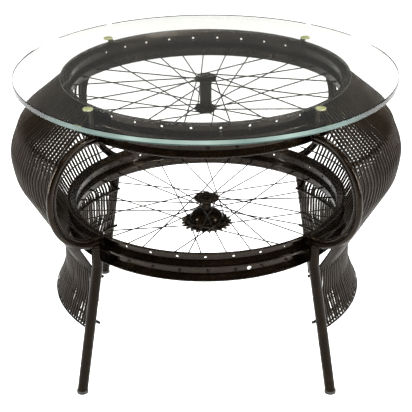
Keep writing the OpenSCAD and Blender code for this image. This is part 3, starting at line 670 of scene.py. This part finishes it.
def spatter(name, mid, look, rng):
    verts, faces = [], []
    outerR, half = rimForm["outerR"], rimForm["half"]
    for k in range(look["count"]):
        angle = rng.uniform(0, 360)
        size = rng.uniform(look["small"], look["large"])
        if rng.random() < look["sideShare"]:
            r = outerR - rng.uniform(0, look["sideDepth"])
            z = mid + rng.choice((-1, 1)) * half
            tall = look["sideTall"]
        else:
            r = outerR - look["edgeInset"]
            z = mid + rng.choice((-1, 1)) * (half - rng.uniform(look["edgeNear"], look["edgeFar"]))
            tall = look["edgeTall"]
        along = polar(size, angle + 90, 0) * rng.uniform(look["shortest"], look["longest"])
        out = polar(size, angle, 0)
        addDrop(polar(r, angle, z), along, out, Vector((0, 0, size * tall)), look, verts, faces)
    addPiece(f"paintSpecks.{name}", verts, faces, paints["rimPaint"], "rim_paint")


speckRng = random.Random(specks["seed"])
for name, span in rimSpans.items():
    spatter(name, span["middle"], specks, speckRng)
print("rims dressed")

# weld seams at each corner; past is how far a seam's middle lies outside the rims' outer edge
seams = {
    "steps": 28, "sideCount": 7, "rough": 0.35, "lumps": 0.9, "cornerShift": 7.0,
    "bowBar": 0.006, "innerBowBar": 0.0035, "underBow": 0.0003, "overBow": 0.0002,
    "bow": {"past": -0.0002, "radius": 0.0062, "thick": 0.0014},
    "innerBow": {"past": 0.0012, "radius": 0.0036, "thick": 0.001},
    "leg": {"past": 0.012, "radius": 0.0105, "thick": 0.0014},
    "post": {"past": 0.0063, "radius": 0.006, "thick": 0.0013},
}


def weldSeam(centre, axis, seam, look, out, shift):
    first = axis.orthogonal().normalized()
    second = axis.cross(first)
    points, radii = [], []
    for i in range(look["steps"]):
        turn = 2 * math.pi * i / look["steps"]
        lump = stray(i * look["lumps"], shift, 0.0)
        points.append(centre + (first * math.cos(turn) + second * math.sin(turn)) * seam["radius"])
        radii.append(seam["thick"] * (1 + look["rough"] * lump))
    sweepBar(points, radii, look["sideCount"], out, closed=True)


# both ends of a bow's two bars, the leg under the bow and the post over it
def weldCorner(corner, angle, number, look):
    out = ([], [])
    radial = polar(1, angle, 0)
    up = Vector((0, 0, 1))
    places = [
        (look["bow"], radial, bowSpan["high"] - look["bowBar"]),
        (look["bow"], radial, bowSpan["low"] + look["bowBar"]),
        (look["innerBow"], radial, innerBowSpan["high"] - look["innerBowBar"]),
        (look["innerBow"], radial, innerBowSpan["low"] + look["innerBowBar"]),
        (look["leg"], up, bowSpan["low"] - look["underBow"]),
        (look["post"], up, bowSpan["high"] + look["overBow"]),
    ]
    for k, (seam, axis, z) in enumerate(places):
        centre = polar(rimForm["outerR"] + seam["past"], angle, z)
        weldSeam(centre, axis, seam, look, out, number * look["cornerShift"] + k)
    addPiece(f"weldSeams.{corner}", *out, paints["framePaint"], "frame_paint")


for number, (corner, angle) in enumerate(corners.items()):
    weldCorner(corner, angle, number, seams)
print("seams laid")

# spokes, thicker by their coats of paint
spokeCoat = {"thick": 0.00028}


def coatSpokes(name, look):
    source = nodes[name]
    mesh = source.data.copy()
    normals = [v.normal.copy() for v in mesh.vertices]
    for vertex, normal in zip(mesh.vertices, normals):
        vertex.co += normal * look["thick"]
    mesh.materials.clear()
    mesh.materials.append(paints["spokePaint"])
    piece = bpy.data.objects.new(f"{name}.coated", mesh)
    piece.matrix_world = source.matrix_world.copy()
    bpy.context.scene.collection.objects.link(piece)
    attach(piece, "table")
    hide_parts(name)


for name in ("upper_spokes", "lower_spokes"):
    coatSpokes(name, spokeCoat)
print("spokes coated")

# bumpers: low clear discs with a rounded edge, one at the top of each post
pad = {
    "radius": (padSpan["outer"] - padSpan["inner"]) / 2, "r": (padSpan["outer"] + padSpan["inner"]) / 2,
    "low": padSpan["low"], "high": padSpan["high"], "rounding": 0.0011, "arcStep": 18, "steps": 36,
}


def padProfile(look):
    rounding = look["rounding"]
    middle = (look["low"] + look["high"]) / 2
    straight = (look["high"] - look["low"]) / 2 - rounding
    profile = []
    for a in range(-90, 91, look["arcStep"]):
        turn = math.radians(a)
        upOrDown = (a > 0) - (a < 0)
        profile.append((look["radius"] - rounding + rounding * math.cos(turn),
                        middle + straight * upOrDown + rounding * math.sin(turn)))
    return profile


def mouldBumpers(look):
    verts, faces = [], []
    profile = padProfile(look)
    steps = look["steps"]
    for angle in corners.values():
        centre = polar(look["r"], angle, 0)
        base = len(verts)
        verts.append(centre + Vector((0, 0, look["low"])))
        for r, z in profile:
            for s in range(steps):
                verts.append(centre + polar(r, 360.0 * s / steps, z))
        top = len(verts)
        verts.append(centre + Vector((0, 0, look["high"])))
        for s in range(steps):
            t = (s + 1) % steps
            faces.append((base, base + 1 + t, base + 1 + s))
            for a in range(base + 1, top - steps, steps):
                b = a + steps
                faces.append((a + s, a + t, b + t, b + s))
            faces.append((top - steps + s, top - steps + t, top))
    piece = addPiece("clearBumpers", verts, faces, padMaterial, "bumper")
    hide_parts("glass_bumpers")


mouldBumpers(pad)
print("bumpers made")

# finishes of the nodes that the scene keeps; the legs have a duller paint than the bows
finishes = {
    "glass": clearGlass, "bumper": padMaterial, "foot_rubber": capRubber,
    "frame_paint": paints["framePaint"], "rim_paint": paints["rimPaint"],
    "rod_paint": paints["rodPaint"], "spoke_paint": paints["spokePaint"], "hub_paint": paints["hubPaint"],
    "nipple_steel": paints["darkSteel"], "bearing_steel": paints["darkSteel"],
    "sprocket_steel": paints["darkSteel"],
}
for part in frame["record"]["subparts"]:
    finish = finishes[part["material_slot"]]
    if part["node"].startswith("leg_"):
        finish = paints["legPaint"]
    for slotInUse in nodes[part["node"]].material_slots:
        slotInUse.material = finish
print("finishes set")

studio = {
    "floorR": 7.0, "floorSteps": 64, "floorColour": (0.86, 0.86, 0.855), "floorRough": 0.9,
    "floorSpecular": 0.1, "floorGlow": 0.62,
    "skyHigh": (0.1, 0.103, 0.103), "skyLow": (0.95, 0.95, 0.95), "skyLowTo": 0.2, "fill": 0.42,
}


# a pale floor that glows to the camera, in reflections and through the glass
def makeFloorMaterial(look):
    made, tree, shader = newMaterial("paleFloor")
    shader.inputs["Base Color"].default_value = (*look["floorColour"], 1.0)
    shader.inputs["Roughness"].default_value = look["floorRough"]
    shader.inputs["Specular IOR Level"].default_value = look["floorSpecular"]
    ray = addNode(tree, "ShaderNodeLightPath")
    seen = addMath(tree, "MAXIMUM", ray.outputs["Is Camera Ray"], ray.outputs["Is Glossy Ray"])
    shown = addMath(tree, "MAXIMUM", seen, ray.outputs["Is Transmission Ray"])
    glow = addNode(tree, "ShaderNodeEmission", Color=(1.0, 1.0, 1.0, 1.0),
                   Strength=addMath(tree, "MULTIPLY", shown, look["floorGlow"]))
    both = addNode(tree, "ShaderNodeAddShader")
    feed(tree, both.inputs[0], shader.outputs[0])
    feed(tree, both.inputs[1], glow.outputs[0])
    feed(tree, tree.nodes["Material Output"].inputs["Surface"], both.outputs[0])
    return made


def makeFloor(look):
    steps = look["floorSteps"]
    points = [polar(look["floorR"], 360.0 * k / steps, 0.0) for k in range(steps)]
    mesh = bpy.data.meshes.new("studioFloor")
    mesh.from_pydata([tuple(p) for p in points], [], [tuple(range(steps))])
    mesh.materials.append(makeFloorMaterial(look))
    floor = bpy.data.objects.new("studioFloor", mesh)
    bpy.context.scene.collection.objects.link(floor)


makeFloor(studio)


# white to the camera; in reflections the horizon is white and the room above it is dim
def makeWorld(look):
    world = bpy.data.worlds.new("paleStudio")
    bpy.context.scene.world = world
    world.use_nodes = True
    tree = world.node_tree
    way = addNode(tree, "ShaderNodeTexCoord").outputs["Generated"]
    rise = addSpread(tree, heightOf(tree, way), 0.0, look["skyLowTo"])
    room = mixColours(tree, rise, (*look["skyLow"], 1.0), (*look["skyHigh"], 1.0))
    ray = addNode(tree, "ShaderNodeLightPath")
    fill = (look["fill"], look["fill"], look["fill"], 1.0)
    plain = mixColours(tree, ray.outputs["Is Diffuse Ray"], room, fill)
    shown = mixColours(tree, ray.outputs["Is Camera Ray"], plain, (1.0, 1.0, 1.0, 1.0))
    sky = tree.nodes["Background"]
    feed(tree, sky.inputs["Color"], shown)
    sky.inputs["Strength"].default_value = 1.0


makeWorld(studio)

lamps = {
    "leftBox": {"at": (-2.3, -0.7, 1.15), "to": (0, 0, 0.35), "size": (0.16, 1.5), "watts": 95.0},
    "rightBox": {"at": (2.3, -0.9, 1.25), "to": (0, 0, 0.35), "size": (0.16, 1.5), "watts": 110.0},
    "topBox": {"at": (0.2, 0.5, 2.6), "to": (0, 0, 0.4), "size": (1.8, 0.3), "watts": 56.0},
    "frontBox": {"at": (0.5, -2.3, 3.1), "to": (0, 0, 0.3), "size": (1.2, 0.16), "watts": 40.0},
}


def hangLamp(name, lamp):
    data = bpy.data.lights.new(name, "AREA")
    data.shape = "RECTANGLE"
    data.size, data.size_y = lamp["size"]
    data.energy = lamp["watts"]
    light = bpy.data.objects.new(name, data)
    light.location = lamp["at"]
    light.rotation_euler = (Vector(lamp["to"]) - Vector(lamp["at"])).to_track_quat("-Z", "Y").to_euler()
    bpy.context.scene.collection.objects.link(light)


for name, lamp in lamps.items():
    hangLamp(name, lamp)
print("studio lit")

# the camera stands where the photograph was taken from; angles are in radians, lens and sensor in mm
view = {
    "at": (0.0305, -2.2397, 1.3459), "heading": 0.0141, "down": 0.4395, "roll": -0.008,
    "lens": 103.3, "sensor": 36.0,
}


def placeCamera(look):
    data = bpy.data.cameras.new("photoView")
    data.sensor_width = look["sensor"]
    data.lens = look["lens"]
    camera = bpy.data.objects.new("photoView", data)
    camera.matrix_world = (
        Matrix.Translation(look["at"])
        @ Matrix.Rotation(look["heading"], 4, "Z")
        @ Matrix.Rotation(math.pi / 2 - look["down"], 4, "X")
        @ Matrix.Rotation(look["roll"], 4, "Z")
    )
    bpy.context.scene.collection.objects.link(camera)
    bpy.context.scene.camera = camera


placeCamera(view)
bpy.context.scene.view_settings.view_transform = "Standard"
print("camera placed")
